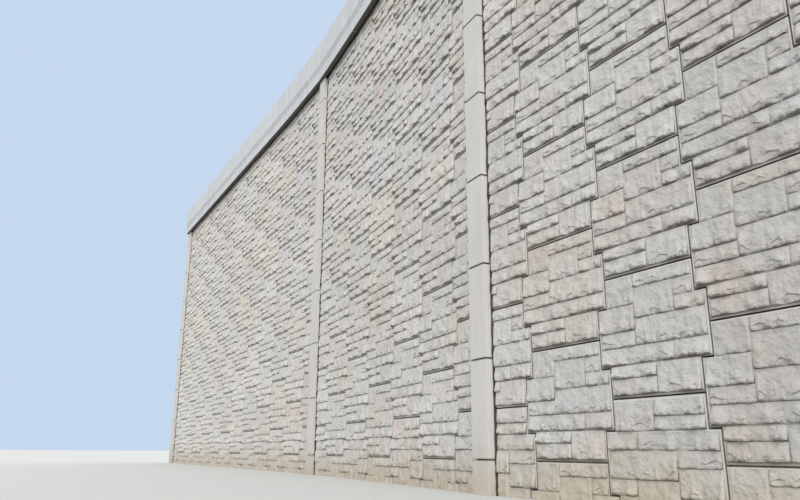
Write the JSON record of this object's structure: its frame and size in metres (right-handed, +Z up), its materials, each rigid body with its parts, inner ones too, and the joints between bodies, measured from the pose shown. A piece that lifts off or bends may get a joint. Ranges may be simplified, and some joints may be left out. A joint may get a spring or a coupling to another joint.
{
  "type": "precast concrete retaining wall",
  "caption": "Tall retaining wall of interlocking cross-shaped concrete panels with a split stone face, smooth pilasters and a barrier coping, on a plan with a kink and a gentle curve.",
  "frame": {"origin": "on the ground under the pilaster at the kink, on the line of the panel faces", "axes": "+X along the wall to the right as seen from the front, +Y through the wall to the back, +Z up"},
  "size_m": [38.3759, 1.3527, 12.93],
  "materials": {
    "panel_concrete": "rough split-face cast concrete, warm pale grey",
    "pilaster_concrete": "smooth cast concrete with small pocks, warm pale grey",
    "coping_concrete": "smooth cast concrete, pale cool grey",
    "filter_cloth": "black needle-felt filter strip"
  },
  "bodies": {
    "root": {"bay1_end_column_right": "panel_concrete", "bay1_end_column_left": "panel_concrete", "bay1_column1": "panel_concrete", "bay1_column2": "panel_concrete", "bay1_column3": "panel_concrete", "bay1_column4": "panel_concrete", "bay1_column5": "panel_concrete", "bay1_filter_strips": "filter_cloth", "bay2_end_column_right": "panel_concrete", "bay2_end_column_left": "panel_concrete", "bay2_column1": "panel_concrete", "bay2_column2": "panel_concrete", "bay2_column3": "panel_concrete", "bay2_column4": "panel_concrete", "bay2_column5": "panel_concrete", "bay2_filter_strips": "filter_cloth", "bay3_end_column_right": "panel_concrete", "bay3_end_column_left": "panel_concrete", "bay3_column1": "panel_concrete", "bay3_column2": "panel_concrete", "bay3_column3": "panel_concrete", "bay3_column4": "panel_concrete", "bay3_column5": "panel_concrete", "bay3_column6": "panel_concrete", "bay3_column7": "panel_concrete", "bay3_column8": "panel_concrete", "bay3_column9": "panel_concrete", "bay3_column10": "panel_concrete", "bay3_column11": "panel_concrete", "bay3_filter_strips": "filter_cloth", "pilaster1": "pilaster_concrete", "pilaster2": "pilaster_concrete", "pilaster3": "pilaster_concrete", "pilaster4": "pilaster_concrete", "coping1": "coping_concrete", "coping2": "coping_concrete", "coping3": "coping_concrete", "coping4": "coping_concrete", "coping5": "coping_concrete", "coping6": "coping_concrete", "coping7": "coping_concrete"}
  },
  "joints": []
}
